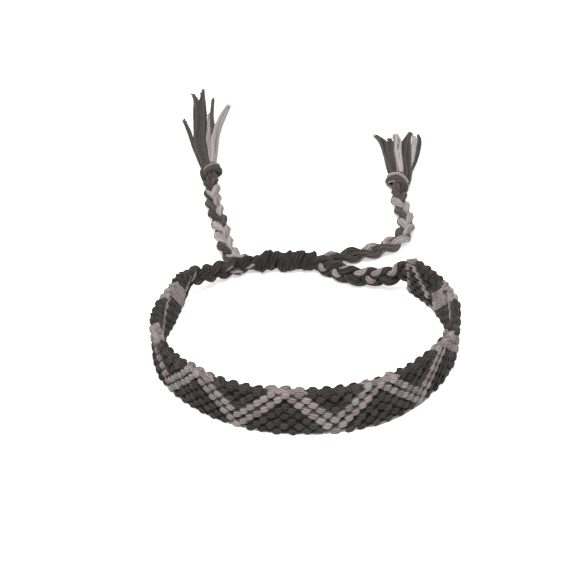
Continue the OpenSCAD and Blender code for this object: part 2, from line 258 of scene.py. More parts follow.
def spun_yarn_group():
    group = bpy.data.node_groups.new("spun_yarn", "ShaderNodeTree")
    for name, kind, value in GROUP_INPUTS:
        socket = group.interface.new_socket(name, in_out="INPUT", socket_type=kind)
        socket.default_value = value
    for name, kind in GROUP_OUTPUTS:
        group.interface.new_socket(name, in_out="OUTPUT", socket_type=kind)
    nodes, links = group.nodes, group.links
    given, out = nodes.new("NodeGroupInput"), nodes.new("NodeGroupOutput")

    def put(node, socket, value):
        if isinstance(value, bpy.types.NodeSocket):
            links.new(value, node.inputs[socket])
        else:
            node.inputs[socket].default_value = value

    def math_node(kind, a, b=0.0, c=0.0, clamp=False):
        node = nodes.new("ShaderNodeMath")
        node.operation, node.use_clamp = kind, clamp
        for socket, value in enumerate((a, b, c)):
            put(node, socket, value)
        return node.outputs[0]

    def times(a, b, clamp=False):
        return math_node("MULTIPLY", a, b, clamp=clamp)

    def mixed(factor, a, b):
        node = nodes.new("ShaderNodeMix")
        node.data_type = "RGBA"
        for socket, value in ((0, factor), (6, a), (7, b)):
            put(node, socket, value)
        return node.outputs[2]

    def attribute(name):
        node = nodes.new("ShaderNodeAttribute")
        node.attribute_name = name
        return node.outputs

    def noise(vector, scale, detail):
        node = nodes.new("ShaderNodeTexNoise")
        node.inputs["Scale"].default_value = scale
        node.inputs["Detail"].default_value = detail
        put(node, "Vector", vector)
        return node.outputs[0]

    grain, shade, dim = attribute("grain")["Vector"], attribute("shade")["Fac"], attribute("dim")["Fac"]
    parts = nodes.new("ShaderNodeSeparateXYZ")
    put(parts, 0, grain)
    angle = math_node("ARCTAN2", parts.outputs[2], parts.outputs[1])
    wave = math_node("COSINE", times(angle, given.outputs["Plies"]))
    ridge = math_node("POWER", math_node("MULTIPLY_ADD", wave, 0.5, 0.5), RIDGE_ROUND)
    stretch = nodes.new("ShaderNodeVectorMath")
    stretch.operation = "MULTIPLY"
    put(stretch, 0, grain)
    put(stretch, 1, FIBRE_STRETCH)
    fibre = noise(stretch.outputs[0], FIBRE_SCALE, 3.0)
    fibre.node.inputs["Roughness"].default_value = 0.6
    cloud = noise(nodes.new("ShaderNodeTexCoord").outputs["Object"], CLOUD_SCALE, 2.0)

    bump = nodes.new("ShaderNodeBump")
    put(bump, "Distance", RELIEF_DEPTH)
    put(bump, "Strength", given.outputs["Relief"])
    plies, fibres = times(ridge, given.outputs["Ply Depth"]), times(fibre, given.outputs["Fibre Depth"])
    put(bump, "Height", math_node("ADD", plies, fibres))

    # The colour is darkened in the grooves between the plies: painted shade.
    painted_groove_shade = times(math_node("SUBTRACT", ridge, 0.5), given.outputs["Painted Groove Shade"])
    lit = math_node("ADD", math_node("ADD", painted_groove_shade, LIT_BASE), times(fibre, FIBRE_LIGHT))
    lit = math_node("ADD", lit, times(math_node("SUBTRACT", shade, SHADE_MIDDLE), SHADE_LIGHT))
    lit = math_node("SUBTRACT", lit, times(dim, DIM_LIGHT))
    patches = math_node("SUBTRACT", times(cloud, CLOUD_LIGHT), CLOUD_LIGHT / 2)
    lit = math_node("ADD", lit, patches, clamp=True)
    colour = mixed(lit, given.outputs["Deep Colour"], given.outputs["Lit Colour"])
    chance = math_node("FRACT", times(shade, TINT_JUMP))
    tint = times(math_node("SUBTRACT", chance, TINT_FROM), TINT_MOST, clamp=True)
    put(out, "Colour", mixed(tint, colour, given.outputs["Second Tint"]))
    put(out, "Roughness", math_node("SUBTRACT", ROUGH_GROOVE, times(ridge, RIDGE_GLOSS)))
    put(out, "Normal", bump.outputs[0])
    return group


spun_yarn = spun_yarn_group()
print("the spun yarn group has", len(spun_yarn.nodes), "nodes")

# %% [markdown]
# ## The yarns
# The same two yarns look different in each part. Knotted, they are pulled hard and show their ply grooves,
# which get the most painted shade. Braided they are softer, and in the fringe they are open and catch the
# most light. The tails and the fringe get lighter tones of the same yarns than the knots and ties: painted
# light.
# Each part has a pair of materials. The sliding knot is wound from a third, brown-black yarn.

# %% Yarn materials
SPECULAR, SHEEN_ROUGH, SHEEN_TINT = 0.25, 0.5, (0.6, 0.58, 0.57, 1)
CHARCOAL_SHEEN = 0.06
# Each set of tones has the lit, deep and second colour of the charcoal yarn, and then of the pale one. The
# deep colour is what the painted shade in the ply grooves darkens to, and what darker yarns lean to.
KNOTTED = ((0.044, 0.040, 0.036), (0.0018, 0.0017, 0.0016), (0.03, 0.018, 0.018),
           (0.262, 0.222, 0.212), (0.07, 0.054, 0.052), (0.215, 0.195, 0.2))
PULLED = ((0.036, 0.0305, 0.0285), (0.005, 0.0042, 0.004), (0.026, 0.018, 0.018),
          (0.245, 0.205, 0.2), (0.08, 0.062, 0.06), (0.2, 0.18, 0.185))
# The fringe's tones are a lighter copy of the same yarns, for the light that the open locks catch: painted
# light.
FRINGE_TONES_PAINTED_LIT = ((0.06, 0.049, 0.043), (0.01, 0.0085, 0.0075), (0.042, 0.03, 0.028),
          (0.36, 0.315, 0.315), (0.14, 0.115, 0.115), (0.33, 0.31, 0.36))
# The tails' tones are a lighter copy of the same yarns than the knots' and ties': painted light.
LOOSE_TONES_PAINTED_LIT = ((0.074, 0.061, 0.053), (0.011, 0.0095, 0.0085), (0.05, 0.035, 0.032),
         (0.325, 0.277, 0.268), (0.115, 0.09, 0.087), (0.285, 0.265, 0.292))
BROWN = ((0.027, 0.0195, 0.0195), (0.004, 0.003, 0.003), (0.022, 0.0135, 0.015))


# How far a material darkens its ply grooves is painted shade.
def yarn_material(name, lit, deep, second, lines, plies=3.0, ply=0.5, relief=0.6, sheen=0.1):
    material = bpy.data.materials.new(name)
    material.use_nodes = True
    nodes, links = material.node_tree.nodes, material.node_tree.links
    shader = nodes["Principled BSDF"]
    yarn = nodes.new("ShaderNodeGroup")
    yarn.node_tree = spun_yarn
    for socket, value in (("Lit Colour", (*lit, 1)), ("Deep Colour", (*deep, 1)),
                          ("Second Tint", (*second, 1)), ("Plies", plies), ("Ply Depth", ply),
                          ("Painted Groove Shade", lines), ("Relief", relief)):
        yarn.inputs[socket].default_value = value
    links.new(yarn.outputs["Colour"], shader.inputs["Base Color"])
    links.new(yarn.outputs["Roughness"], shader.inputs["Roughness"])
    links.new(yarn.outputs["Normal"], shader.inputs["Normal"])
    shader.inputs["Specular IOR Level"].default_value = SPECULAR
    shader.inputs["Sheen Weight"].default_value = sheen
    shader.inputs["Sheen Roughness"].default_value = SHEEN_ROUGH
    shader.inputs["Sheen Tint"].default_value = SHEEN_TINT
    return material


def both_yarns(name, tones, **how):
    return [yarn_material("charcoal_" + name, *tones[:3], sheen=CHARCOAL_SHEEN, **how),
            yarn_material("pale_" + name, *tones[3:], **how)]


# Each part's darkening of its ply grooves is painted shade, strongest in the knots.
knot_yarns = both_yarns("knots", KNOTTED, lines=0.85, plies=6.0, ply=0.7, relief=0.8)
tie_yarns = both_yarns("tie_yarn", PULLED, lines=0.6)
tail_yarns = both_yarns("tail_yarn_painted_lit", LOOSE_TONES_PAINTED_LIT, lines=0.45)
fringe_yarns = both_yarns("fringe_yarn_painted_lit", FRINGE_TONES_PAINTED_LIT, lines=0.3)
brown_yarn = yarn_material("brown_black_yarn", *BROWN, lines=0.5, sheen=0.05)
print("yarn materials:", [m.name for m in (*knot_yarns, *tie_yarns, *tail_yarns, *fringe_yarns, brown_yarn)])

# %% [markdown]
# ## How a braid is made
# Each braid has three strands. A strand goes from side to side while it goes under and over, so its
# middle is a sine across and a sine of twice the speed up and down. Where it comes up it shows as one
# leaf, and the leaves make the braid's V pattern. A strand is a few yarns laid side by side. The strand
# turns between leaves, so that its light yarns lie on top of one leaf and below on the next. A word with
# one letter for each leaf says which: L light, l partly light, D dark. It was read off the photo.

# %% Braids
SPREAD, RISE, STRAND = 1.5, 0.76, 1.08  # a strand's swing across and up, and its radius, mm
YARN, RING = 0.45, 0.68  # a yarn's radius, and how far it lies from its strand's middle, mm
THIN_END = 0.35  # what is left of a strand where it is drawn in at its ends
SEEN_FROM = np.array([0.0, -0.8, 0.6])
LEAF_TURN = {"L": 0.0, "l": 75.0, "D": 180.0}
LEAVES_A_BUMP, BUMPS_A_STRAND = 2, 1.5  # leaves in one bump's length, and bumps to a strand's next leaf


def strand_lines(route, bump, roll, free):
    """The middles of the three strands. Roll turns the braid on its line, and free lets it swing."""
    line, run = route
    side, up = level_sides(line)
    roll, free = np.radians(roll)[:, None], free[:, None]
    for j in range(3):
        turn = (2 * math.pi * (run / (3 * bump) + j / 3))[:, None]
        x, y = SPREAD * np.sin(turn) * free, RISE * np.sin(2 * turn) * free
        level, high = x * np.cos(roll) - y * np.sin(roll), x * np.sin(roll) + y * np.cos(roll)
        yield line + side * level + up * high


def leaf_turns(run, bump, word, below, reach):
    """For each strand, how far it is turned along its run, from the letters of the leaves. A light leaf
    stays turned up for about its reach in bumps. Below is 1 where the braid's underside is seen."""
    places = [[], [], []]
    for n, letter in enumerate(word):
        at = n / LEAVES_A_BUMP
        for j in range(3):
            m = (at + j - below) / BUMPS_A_STRAND
            if abs(m - round(m)) < 1e-6:
                places[j].append((bump * (0.375 - 0.25 * below + at), LEAF_TURN[letter]))
    for leaves in places:
        shown = sum((180.0 - turn) * np.exp(-((run - at) / (reach * bump)) ** 2) for at, turn in leaves)
        yield np.radians(180.0 - np.minimum(shown, 180.0))


def laid_strand(line, mix, turn, radius=YARN, ring=RING, ends=1.2, toward=SEEN_FROM):
    """The yarns of one strand round its middle. The first letters of the mix lie on the seen side."""
    along = unit(np.gradient(line, axis=0))
    up = unit(toward - along * (along @ toward)[:, None])
    side = np.cross(along, up)
    run = run_along(line)
    taper = 1.0
    for inward in (run, run[-1] - run):
        taper = taper * (THIN_END + (1 - THIN_END) * smooth(inward / ends))
    first = (mix.count("L") - 1) / 2
    for m, letter in enumerate(mix):
        a = (2 * math.pi * (m - first) / len(mix) + turn + 0.12 * np.sin(run * 0.7 + m))[:, None]
        wobble = 1 + 0.06 * np.sin(run * 1.7 + rng.uniform(0, ANY_ANGLE))
        middle = line + ring * taper[:, None] * (side * np.sin(a) + up * np.cos(a))
        yield yarn_skin(middle, radius * wobble * taper, LIGHT if letter == "L" else DARK)


def braid(route, bump, roll, free, mix, word, reach, below=0, ends=1.2):
    skins = []
    turns = leaf_turns(route[1], bump, word, below, reach)
    for line, turn in zip(strand_lines(route, bump, roll, free), turns):
        skins += laid_strand(line, mix, turn, ends=ends)
    return skins


print("a braid is %.1f mm wide" % (2 * (SPREAD + STRAND)))

# %% [markdown]
# ## The tails
# The tails leave the sliding knot at its two ends, come down to the surface and run away from the loop.
# They are braided loosely, so their bumps are long. The right tail is darker near the sliding knot, which
# the "dim" attribute tells its material.

# %% Tails
KNOT_X, KNOT_Y, KNOT_Z, KNOT_LONG = -13.6, 36.0, 2.65, 17.0  # the sliding knot's left end, and its length
KNOT_LIP, JOIN = 0.06, 0.3  # a tail starts this part of the knot's length past it, and a gap, mm
TAIL_BUMP = 6.2
LAY_Z = 1.84  # the height of a braid's middle where it lies on the surface
SETTLE = (0.5, 0.2, 0.05)  # how much higher the first points are
TAIL_MIX = "LLLDDD"
DIM_FROM, DIM_OVER = 8, 14  # the right tail is dark as far right as this, and fades over this width, mm
tail_left_way = [(-15.9, 37.2), (-17.4, 38.2), (-18.9, 39.8), (-20.1, 42.0), (-20.9, 44.8), (-21.5, 48.0),
                 (-22.1, 52), (-22.9, 56.6), (-23.9, 61.4), (-25.1, 67.4), (-25.9, 73.4), (-26.4, 79.4),
                 (-26.6, 82.8)]
tail_right_way = [(5.6, 37.2), (7.8, 38.1), (11.3, 39.6), (16.4, 41.4), (21.0, 43.8), (24.8, 47.0),
                  (27.3, 50.8), (28.5, 55.0), (28.7, 59.4), (28.2, 65.2), (27.6, 70.6), (27.3, 75.6)]


def tail_route(first_x, way):
    heights = [LAY_Z + z for z in SETTLE] + [LAY_Z] * (len(way) - len(SETTLE))
    points = [(first_x, KNOT_Y + 1.0, KNOT_Z)] + [(x, y, z) for (x, y), z in zip(way, heights)]
    return evenly(spline(points), 0.45)


left_route = tail_route(KNOT_X - KNOT_LIP * KNOT_LONG - JOIN, tail_left_way)
right_route = tail_route(KNOT_X + (1 + KNOT_LIP) * KNOT_LONG + JOIN, tail_right_way)
tails = {}
for name, route, word in (("tail_left", left_route, "lLDLLLLDDLDLlLDDDDDD"),
                          ("tail_right", right_route, "LDDDLDLLDLLLDLLDDDDDD")):
    run = route[1]
    no_roll = np.zeros(len(run))
    free = 0.45 + 0.55 * smooth(0.05 + run / 5)
    skins = braid(route, TAIL_BUMP, no_roll, free, TAIL_MIX, word, reach=0.55, ends=0.5)
    tails[name] = make_piece(name + "_braid", skins, name, tail_yarns)
    print(name, "braid is %.1f mm long" % run[-1])
mesh = tails["tail_right"].data
across = np.array([v.co.x for v in mesh.vertices]) / MM
dim = 1 - smooth((across - DIM_FROM) / DIM_OVER)
mesh.attributes.new("dim", "FLOAT", "POINT").data.foreach_set("value", dim.astype(np.float32))

# %% [markdown]
# ## The end knots
# An overhand knot in a braid: the braid goes round itself and through its own loop. What shows is a
# thick rope of yarn that arches over the braid from one side to the other and bulges out where it turns
# under. Each knot is a bundle of yarns that runs straight through, and a rope wound round it.

# %% End knots
BUNDLE_MIX, BUNDLE_YARN, BUNDLE_RING = "DDDDDDDD", 0.55, 1.35
BUNDLE = ((-1.3, 1.9), (-0.5, 2.2), (0.2, 2.3), (0.8, 2.25), (1.25, 2.1))  # in half lengths, and height
ROPE_YARN, ROPE_RING, ROPE_REACH = 0.42, 0.5, 2.2
ROPE_START, ROPE_WOUND = -250, 900  # degrees
ROPE_HALF = 2.9  # half the length that the rope covers, mm
ROPE_Z, ROPE_HIGH = 2.62, 1.85
OVER_ROPE = np.array([0.1, -0.2, 0.9])
end_left_way = [(-26.6, 82.9), (-28.1, 91.8)]
end_right_way = [(27.3, 75.7), (28.1, 85.4)]


def end_knot(way, hand, lean, bulge, wound):
    low, high = np.array(way)
    middle, along = (low + high) / 2, unit(high - low)
    across = np.array([along[1], -along[0]]) * hand
    half = np.linalg.norm(high - low) / 2
    line, run = evenly(spline([(*(middle + along * half * k), z) for k, z in BUNDLE]), 0.5)
    skins = list(laid_strand(line, BUNDLE_MIX, 0.3 * np.sin(run * 0.5), BUNDLE_YARN, BUNDLE_RING, ends=1.5))
    a = np.radians(np.linspace(ROPE_START, ROPE_START + ROPE_WOUND, 121))
    t = np.linspace(-1, 1, len(a))
    out = ROPE_REACH - 0.35 * t * t + bulge * np.clip(np.sin(a), 0, 1) ** 2 * (1 - t * t)
    x, y = out * np.sin(a), ROPE_HALF * t + lean * np.sin(a)
    rope = middle[None] + across[None] * x[:, None] + along[None] * y[:, None]
    rope = np.column_stack([rope, ROPE_Z + (ROPE_HIGH - 0.25 * t * t) * np.cos(a)])
    line, run = evenly(rope, 0.4)
    shown = math.pi * (1 - smooth(1.7 * run / run[-1] - 0.35)) + 0.5 * np.sin(run * 0.6)
    return skins + list(laid_strand(line, wound, shown, ROPE_YARN, ROPE_RING, ends=1.5, toward=OVER_ROPE))


for name, way, hand, lean, bulge, wound in (("end_knot_left", end_left_way, 1, 0.9, 0.9, "LDDDDD"),
                                            ("end_knot_right", end_right_way, -1, 1.3, 1.1, "LLLDDD")):
    skins = end_knot(way, hand, lean, bulge, wound)
    make_piece(name + "_turns", skins, name, tail_yarns)

# %% [markdown]
# ## The fringes
# Past each knot the yarns hang loose in locks. A lock is a handful of yarns that follow one route, close
# together at the knot and a little apart at the tip, each cut at its own length and frayed into fibres.
# A lock's entry holds its radius at the knot and at the tip, its yarns, and its route.

# %% Routes of the locks
locks_left = [
    (1.5, 0.5, "DDDDDDDDD", [(-28.9, 91.2, 2.3), (-30.2, 97, 2.1), (-31.1, 102, 2.0), (-32.0, 109, 1.8),
                             (-32.6, 117, 1.7), (-33.0, 126, 1.5), (-33.9, 137, 1.2), (-35.8, 146.5, 0.7)]),
    (1.5, 0.5, "DDDDDDDDD", [(-28.3, 91.2, 2.7), (-29.3, 97, 2.5), (-30.0, 102, 2.4), (-30.8, 109, 2.1),
                             (-31.2, 117, 1.9), (-31.6, 126, 1.6), (-32.1, 137, 1.2), (-32.7, 150, 0.7)]),
    (1.3, 0.9, "DDDDDDDD", [(-28.7, 91.2, 2.5), (-29.8, 97, 2.6), (-30.6, 102, 2.6), (-31.5, 109, 2.4),
                            (-31.9, 117, 2.2), (-32.3, 126, 1.9), (-32.6, 133, 1.6), (-32.9, 139.5, 1.3)]),
    (0.75, 0.5, "DDD", [(-29.2, 92.0, 1.9), (-31.2, 99, 1.5), (-32.9, 106, 1.2), (-34.4, 113.5, 1.0),
                        (-36.0, 121, 0.8), (-38.0, 128, 0.7)]),
    (1.5, 0.9, "LLLLLLLLL", [(-27.5, 91.2, 2.2), (-27.4, 97, 2.0), (-27.9, 104, 1.8), (-28.4, 112, 1.6),
                             (-28.7, 119, 1.3), (-29.0, 126, 1.1), (-29.3, 132, 0.9)]),
    (0.75, 0.5, "DDD", [(-28.2, 91.4, 2.3), (-28.4, 104, 1.5), (-28.3, 112, 1.7), (-28.4, 119, 1.9),
                        (-28.7, 127, 1.6), (-28.9, 135, 1.1), (-29.1, 143, 0.7)]),
    (1.25, 0.7, "LLLLLLL", [(-27.0, 91.6, 2.4), (-26.8, 100, 1.9), (-27.0, 108, 1.5), (-27.0, 115, 1.4),
                            (-26.4, 122, 1.3), (-25.3, 129, 1.1), (-23.6, 138, 0.8)])]
locks_right = [
    (1.5, 0.55, "DDDDDDDDD", [(26.9, 84.6, 2.2), (26.2, 90, 2.0), (25.8, 96, 1.8), (25.3, 102, 1.5),
                              (24.8, 108, 1.2), (23.6, 112.5, 0.9), (21.9, 116.5, 0.7)]),
    (1.35, 0.7, "DDDDDDD", [(27.6, 85.0, 2.6), (27.0, 92, 2.3), (26.8, 98, 2.0), (26.9, 104, 1.6),
                            (26.9, 109, 1.2), (26.2, 113.5, 0.9)]),
    (1.5, 0.95, "LLLLLLLDD", [(28.4, 85.0, 2.6), (28.6, 92, 2.5), (28.6, 98, 2.3), (28.7, 104, 1.9),
                              (29.0, 110, 1.4), (28.4, 116.5, 0.9)]),
    (1.6, 0.7, "DDDDDDDDDD", [(29.3, 79.5, 2.6), (30.0, 82.5, 2.9), (30.5, 86, 2.5), (30.6, 91, 2.1),
                              (30.8, 97, 1.8), (31.0, 104, 1.6), (31.6, 110, 1.2), (33.3, 118, 0.8)]),
    (0.95, 0.75, "LLLLD", [(30.2, 86.0, 1.8), (31.8, 93, 1.5), (32.7, 100, 1.4), (33.4, 106, 1.3),
                           (34.1, 111, 1.1), (34.3, 115.5, 0.8)]),
    (0.65, 0.55, "DDD", [(30.6, 86.0, 1.8), (32.5, 93, 1.3), (34.2, 100, 1.1), (35.2, 106, 0.9),
                         (35.8, 111.5, 0.9), (35.6, 117, 0.7)])]
print("locks:", len(locks_left), "left and", len(locks_right), "right")

# %% Fringes
FIBRES, FIBRE_STEPS = 5, 6  # at each yarn's cut end
FIBRE_THICK, FIBRE_THIN, FIBRE_LOW = 0.17, 0.06, 0.15
LOCK_YARN = 0.45
NARROWS_FROM, NARROWS_FAST = 0.72, 3.6  # where along a lock it starts to narrow, and how fast


def frayed_tip(end, direction, kind):
    skins = []
    for _ in range(FIBRES):
        lean = unit(direction + rng.normal(0, 0.22, 3) * [1, 1, 0.4])
        start = end - direction * 0.8 + rng.normal(0, LOCK_YARN * 0.35, 3)
        steps = np.linspace(0, rng.uniform(1.5, 2.6), FIBRE_STEPS)
        line = np.array([start + lean * s + np.array([0, 0, -0.05]) * s * s for s in steps])
        line[:, 2] = np.maximum(line[:, 2], FIBRE_LOW)
        skins.append(yarn_skin(line, np.linspace(FIBRE_THICK, FIBRE_THIN, FIBRE_STEPS), kind, sides=5))
    return skins


def lock_skins(r0, r1, mix, way):
    line, run = evenly(spline(way), 1.2)
    side, up = carried_sides(line)
    t = run / run[-1]
    width = r0 + (r1 - r0) * smooth((t - NARROWS_FROM) * NARROWS_FAST)
    skins = []
    for m, letter in enumerate(mix):
        phase = 2 * math.pi * m / len(mix) + rng.uniform(-0.2, 0.2)
        keep = rng.uniform(0.93, 1.0)
        spread = np.maximum(width - LOCK_YARN * 0.8, 0.2) * rng.uniform(0.6, 1.08)
        turn = (phase + 0.6 * t * rng.uniform(-1, 1) + 0.2 * np.sin(run * 0.22 + phase))[:, None]
        middle = line + spread[:, None] * (side * np.cos(turn) + up * np.sin(turn) * 0.8)
        middle = middle[: max(int(len(middle) * keep), 4)]
        u = np.linspace(0, 1, len(middle))
        radius = LOCK_YARN * (0.8 + 0.2 * smooth(u * 8)) * (0.7 + 0.3 * smooth((1 - u) * 40))
        radius = radius * (1 + 0.05 * np.sin(run[: len(middle)] * 0.9 + phase))
        middle[:, 2] = np.maximum(middle[:, 2], radius + 0.05)
        kind = LIGHT if letter == "L" else DARK
        skins.append(yarn_skin(middle, radius, kind))
        skins += frayed_tip(middle[-1], unit(middle[-1] - middle[-3]), kind)
    return skins


for name, locks in (("fringe_left", locks_left), ("fringe_right", locks_right)):
    skins = [skin for lock in locks for skin in lock_skins(*lock)]
    make_piece(name + "_yarns", skins, name, fringe_yarns)

# %% [markdown]
# ## The tails' lines
# A tail is a free cord: limp, of its real length, laid loosely, with a knot at its far end. Its first point
# is where it leaves the sliding knot. Each tail's points are turned into metres, and its length is printed.

# %% Cords
for name, side, route in (("tail_left", "left", left_route), ("tail_right", "right", right_route)):
    line, run = route
    tuple(metres(line[0]))
    [tuple(p) for p in metres(line)]
    print(name, "is declared as a cord, %.1f mm long" % run[-1])

# %% [markdown]
# ## The band's plan
# The band stands on its lower edge and runs round the loop. The plan gives its distance from the middle
# for directions fifteen degrees apart, and how far its upper edge leans out. From it comes one helper
# that turns "so far along, so high, so far out" into a place.

# %% Plan of the loop
BAND_HIGH = 11.0
FRONT = -90  # the direction in degrees from which runs along the band are counted
RUN_A, RUN_B = -80.9, 85.6  # where the band starts and ends
loop_plan = np.array([
    (-240, 39.0, -2.4), (-225, 38.2, -2.2), (-210, 35.7, -1.4), (-195, 34.4, -0.4), (-180, 35.5, 0.3),
    (-165, 36.7, 0.4), (-150, 37.0, 0.2), (-135, 36.9, 0.0), (-120, 37.0, -0.5), (-105, 36.9, -1.2),
    (-90, 36.6, -1.7), (-75, 36.7, -1.8), (-60, 36.8, -1.6), (-45, 36.5, -1.1), (-30, 36.5, -0.5),
    (-15, 37.0, 0.0), (0, 37.4, 0.1), (15, 37.2, -0.1), (30, 37.0, -0.8), (45, 36.7, -1.5),
    (60, 36.0, -2.0)])
plan_line = spline(loop_plan, 60)
plan_line = plan_line[(plan_line[:, 0] > -236) & (plan_line[:, 0] < 56)]
plan_dir, plan_r, plan_lean = plan_line.T
plan_xy = plan_r[:, None] * np.stack([np.cos(np.radians(plan_dir)), np.sin(np.radians(plan_dir))], axis=1)
plan_run = run_along(plan_xy)
plan_run -= np.interp(FRONT, plan_dir, plan_run)
plan_t = unit(np.gradient(plan_xy, axis=0))


def band_place(run, high, out):
    """Places on the band, which is lower and thinner towards its two ends."""
    x, y, tx, ty, lean = (np.interp(run, plan_run, c) for c in (*plan_xy.T, *plan_t.T, plan_lean))
    tall = np.minimum(0.55 + 0.45 * smooth((run - RUN_A) / 8), 0.8 + 0.2 * smooth((RUN_B - run) / 3))
    thick = np.minimum(0.8 + 0.2 * smooth((run - RUN_A) / 4), 0.75 + 0.25 * smooth((RUN_B - run) / 1.6))
    high = np.maximum(BAND_HIGH / 2 + (high - BAND_HIGH / 2) * tall, LOWEST)
    out = out * thick + lean * (high / BAND_HIGH - 0.5)
    return np.stack([x + ty * out, y - tx * out, high], axis=-1)


print("band runs from %.1f to %.1f mm" % (RUN_A, RUN_B))

# %% [markdown]
# ## One knot, modelled once
# Every knot of the band is two wraps of yarn, one above the other, that dive into the band at their
# ends. A wrap starts as a small sphere, is drawn out to a grain shape, and its ends are pushed down. The
# second wrap is a copy. Hundreds of knots follow, so one has only a few dozen faces.

# %% The knot's model
WRAP_AROUND, WRAP_ALONG = 8, 7  # faces round a wrap and along it
END_PART, END_DIVE = 0.40, 0.35  # where the ends start, in lengths, and their dive, in depths
GRAIN_APART = 9  # the second wrap's grain lies this much further along


def model_knot(long, high, deep, apart, slip):
    bpy.ops.object.select_all(action="DESELECT")
    bpy.ops.mesh.primitive_uv_sphere_add(segments=WRAP_AROUND, ring_count=WRAP_ALONG, radius=1.0,
                                         location=(0, 0, 0), rotation=(0, math.pi / 2, 0))
    wrap = bpy.context.object
    bpy.ops.object.transform_apply(location=False, rotation=True, scale=False)
    bpy.ops.object.mode_set(mode="EDIT")
    bpy.ops.mesh.select_all(action="SELECT")
    bpy.ops.transform.resize(value=(long / 2, high / 2, deep), center_override=(0, 0, 0))
    bpy.ops.mesh.select_all(action="DESELECT")
    bpy.ops.object.mode_set(mode="OBJECT")
    for v in wrap.data.vertices:
        v.select = abs(v.co.x) > long * END_PART
    bpy.ops.object.mode_set(mode="EDIT")
    bpy.ops.transform.translate(value=(0, 0, -deep * END_DIVE))
    bpy.ops.mesh.select_all(action="DESELECT")
    bpy.ops.object.mode_set(mode="OBJECT")
    bpy.ops.object.select_all(action="DESELECT")
    wrap.select_set(True)
    points = np.array([v.co for v in wrap.data.vertices])
    faces = [p.vertices for p in wrap.data.polygons]
    quads, tris = (np.array([f[:] for f in faces if len(f) == corners]) for corners in (4, 3))
    bpy.ops.object.delete()
    fullness = np.sqrt(np.clip(1 - (points[:, 0] / (long / 2)) ** 2, 0, 1))
    points[:, 1] *= 0.92 + 0.08 * fullness
    angle = np.arctan2(points[:, 2] / deep, points[:, 1] / (high / 2))
    grain = np.stack([points[:, 0], np.cos(angle), np.sin(angle)], axis=1)
    shift = np.array([slip / 2, apart / 2, 0])
    return (np.vstack([points + shift, points - shift]), np.vstack([quads, quads + len(points)]),
            np.vstack([tris, tris + len(points)]), np.vstack([grain, grain + [GRAIN_APART, 0, 0]]))


front_knot = model_knot(long=2.6, high=1.16, deep=0.78, apart=0.62, slip=0.2)
flat_knot = model_knot(long=2.5, high=1.2, deep=0.5, apart=0.95, slip=0.0)
print("a knot has", len(front_knot[1]) + len(front_knot[2]), "faces")

# %% [markdown]
# ## Where the knots sit
# Knots sit in columns. Even columns hold the even rows and odd columns the odd rows, so they mesh like
# bricks on their corners. The zigzag comes back every 14 columns: from a peak, the light knots step down
# one row a column, in two parallel lines, and climb again. The columns are closer on the left.

# %% Columns and rows
TOP_ROW, ROW, ROWS = 10.12, 1.325, 8  # the top row's height, the step down to the next, and how many
REPEAT = 14
COLUMNS = range(-52, 56)
MODEL_PITCH = 1.57  # the distance between columns that the model fits, mm
column_run = np.array([(-56, -85.0), (-49, -75.4), (-42, -66.0), (-28, -46.3), (-14, -26.3), (0, -4.1),
                       (14, 18.4), (28, 41.7), (42, 66.0), (48.25, 75.6), (53, 81.6), (56, 85.4)])


def run_of(column):
    return np.interp(column, column_run[:, 0], column_run[:, 1])


def pitch_of(column):
    return (run_of(column + 1) - run_of(column - 1)) / 2


def from_peak(column):
    return column - REPEAT * np.round(column / REPEAT)


def columns_within(start, end):
    return [i for i in COLUMNS if RUN_A + start < run_of(i) < RUN_B - end]


print("column distance, left and right, mm: %.2f %.2f" % (pitch_of(-42), pitch_of(35)))

# %% [markdown]
# ## One knot's own look
# No two knots are alike: each is moved, tilted and sized a little at random, the dark ones more than the
# light ones. On the outer face the light knots lean with the line of the zigzag. On the inner face the
# knots are flatter, and the zigzag comes through as broad stripes and thin ones by turns.

# %% Outer and inner knots
OUTER, INNER = 1, -1
FALLING, RISING, INNER_TILT = -14, 19, 12  # degrees
OUTER_DEPTH = 0.62  # of a knot's middle from the band's middle, mm
LIGHT_END, LIGHT_CORNER = 83.0, 80.5  # past these runs the inner face is light, all of it or its top rows
BROAD_SHIFT, SHIFT_FROM, SHIFT_OVER = 2.8, 45, 20  # broad stripes move to the front, past this run


def outer_knot(i, j):
    """Whether the knot is light, and its run, height, tilt, two sizes, side, shade and depth."""
    c = from_peak(i)
    light = j in (abs(c), abs(c) - 2)
    tilt = FALLING if c > 0 or (c == 0 and j > 3) else RISING
    if abs(c) in (0, REPEAT // 2) and j in (0, ROWS - 1):
        tilt = 0
    return light, (run_of(i) + rng.normal(0, 0.08 if light else 0.14),
                   TOP_ROW - j * ROW + rng.normal(0, 0.06 if light else 0.1),
                   tilt + rng.normal(0, 4 if light else 9),
                   pitch_of(i) / MODEL_PITCH * rng.uniform(0.9, 1.0), rng.uniform(0.9, 1.02), OUTER,
                   rng.uniform(0, 1), OUTER_DEPTH + rng.normal(0, 0.04 if light else 0.07))


def inner_knot(i, j):
    """The same for the inner face."""
    c, run = from_peak(i), run_of(i)
    falling = c > 0
    broad = falling == (run > 0)
    light = j in (abs(c), abs(c) - 2) if broad else j == abs(c) - 2
    light = light or run > LIGHT_END or (run > LIGHT_CORNER and j < 2)
    size = 1.25 if light and broad else 1.05 if light and run > 60 else 0.95
    forward = BROAD_SHIFT * float(smooth(np.array((run - SHIFT_FROM) / SHIFT_OVER))) if broad else 0.0
    return light, (run - forward + rng.normal(0, 0.06), TOP_ROW - j * ROW + rng.normal(0, 0.05),
                   (-INNER_TILT if falling else INNER_TILT) + rng.normal(0, 4),
                   pitch_of(i) / MODEL_PITCH * size, size * 1.05, INNER,
                   rng.uniform(0, 1), (0.78 if light else 0.7) + rng.normal(0, 0.02))


